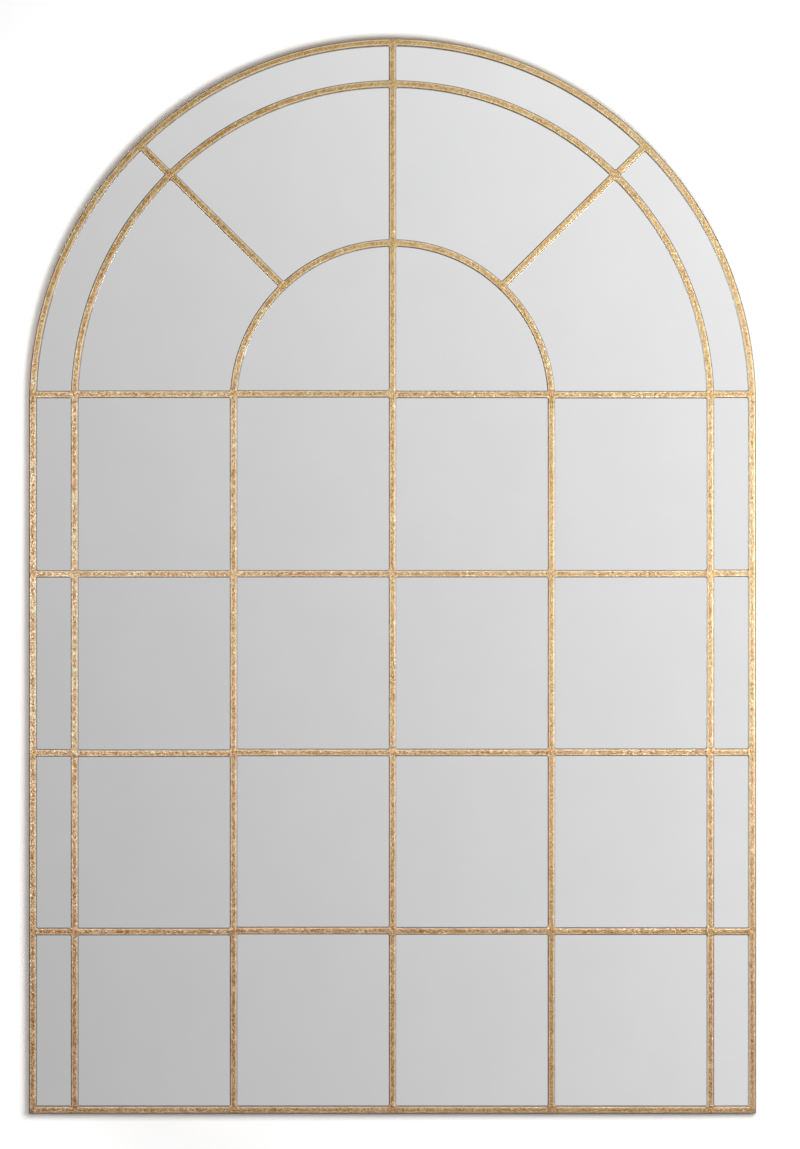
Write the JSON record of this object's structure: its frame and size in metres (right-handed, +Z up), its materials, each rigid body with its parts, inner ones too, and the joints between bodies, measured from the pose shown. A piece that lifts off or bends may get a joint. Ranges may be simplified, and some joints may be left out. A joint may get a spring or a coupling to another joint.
{
  "type": "arched window mirror",
  "caption": "Tall arched wall mirror with a welded flat-bar lattice of panes and a fan over one sheet of silvered glass.",
  "frame": {"origin": "under the middle of the bottom rail, half way between the bars' front face and the wall plane", "axes": "+Z up the mirror, +X to the right of someone facing it, -Y out of its face and +Y towards the wall"},
  "size_m": [1.2192, 0.0256, 1.8034],
  "materials": {
    "gold_leaf": "aged gold leaf over iron, satin, mottled",
    "silvered_glass": "clear float glass silvered on the back",
    "fibreboard": "smooth brown fibreboard",
    "zinc_steel": "bright zinc plate, lightly dulled",
    "rubber": "matt black rubber"
  },
  "bodies": {
    "mirror": {"bottom_rail": "gold_leaf", "left_stile": "gold_leaf", "right_stile": "gold_leaf", "outer_arch": "gold_leaf", "left_border_bar": "gold_leaf", "left_quarter_bar": "gold_leaf", "right_quarter_bar": "gold_leaf", "right_border_bar": "gold_leaf", "inner_arch": "gold_leaf", "fan_arch": "gold_leaf", "centre_bar": "gold_leaf", "crown_bar_lower": "gold_leaf", "crown_bar_upper": "gold_leaf", "left_spoke_lower": "gold_leaf", "left_spoke_upper": "gold_leaf", "right_spoke_lower": "gold_leaf", "right_spoke_upper": "gold_leaf", "crossbar_row1_1": "gold_leaf", "crossbar_row1_2": "gold_leaf", "crossbar_row1_3": "gold_leaf", "crossbar_row1_4": "gold_leaf", "crossbar_row1_5": "gold_leaf", "crossbar_row1_6": "gold_leaf", "crossbar_row2_1": "gold_leaf", "crossbar_row2_2": "gold_leaf", "crossbar_row2_3": "gold_leaf", "crossbar_row2_4": "gold_leaf", "crossbar_row2_5": "gold_leaf", "crossbar_row2_6": "gold_leaf", "crossbar_row3_1": "gold_leaf", "crossbar_row3_2": "gold_leaf", "crossbar_row3_3": "gold_leaf", "crossbar_row3_4": "gold_leaf", "crossbar_row3_5": "gold_leaf", "crossbar_row3_6": "gold_leaf", "crossbar_row4_1": "gold_leaf", "crossbar_row4_2": "gold_leaf", "crossbar_row4_3": "gold_leaf", "crossbar_row4_4": "gold_leaf", "crossbar_row4_5": "gold_leaf", "crossbar_row4_6": "gold_leaf", "mirror_glass": "silvered_glass", "backboard": "fibreboard", "retaining_tab_1": "zinc_steel", "retaining_tab_2": "zinc_steel", "retaining_tab_3": "zinc_steel", "retaining_tab_4": "zinc_steel", "retaining_tab_5": "zinc_steel", "retaining_tab_6": "zinc_steel", "hanger_plate_left": "zinc_steel", "hanger_plate_right": "zinc_steel", "hanger_strap_left": "zinc_steel", "hanger_strap_right": "zinc_steel", "bumper_1": "rubber", "bumper_2": "rubber", "bumper_3": "rubber", "bumper_4": "rubber"},
    "left_ring": {"hanger_ring_left": "zinc_steel"},
    "right_ring": {"hanger_ring_right": "zinc_steel"}
  },
  "joints": [
    {"name": "left_ring_swing", "type": "hinge", "parent": "mirror", "child": "left_ring", "pos_m": [-0.5796, 0.00923, 1.1338], "axis": [1, 0, 0], "range_deg": [0, 180]},
    {"name": "right_ring_swing", "type": "hinge", "parent": "mirror", "child": "right_ring", "pos_m": [0.5796, 0.00923, 1.1338], "axis": [1, 0, 0], "range_deg": [0, 180]}
  ]
}
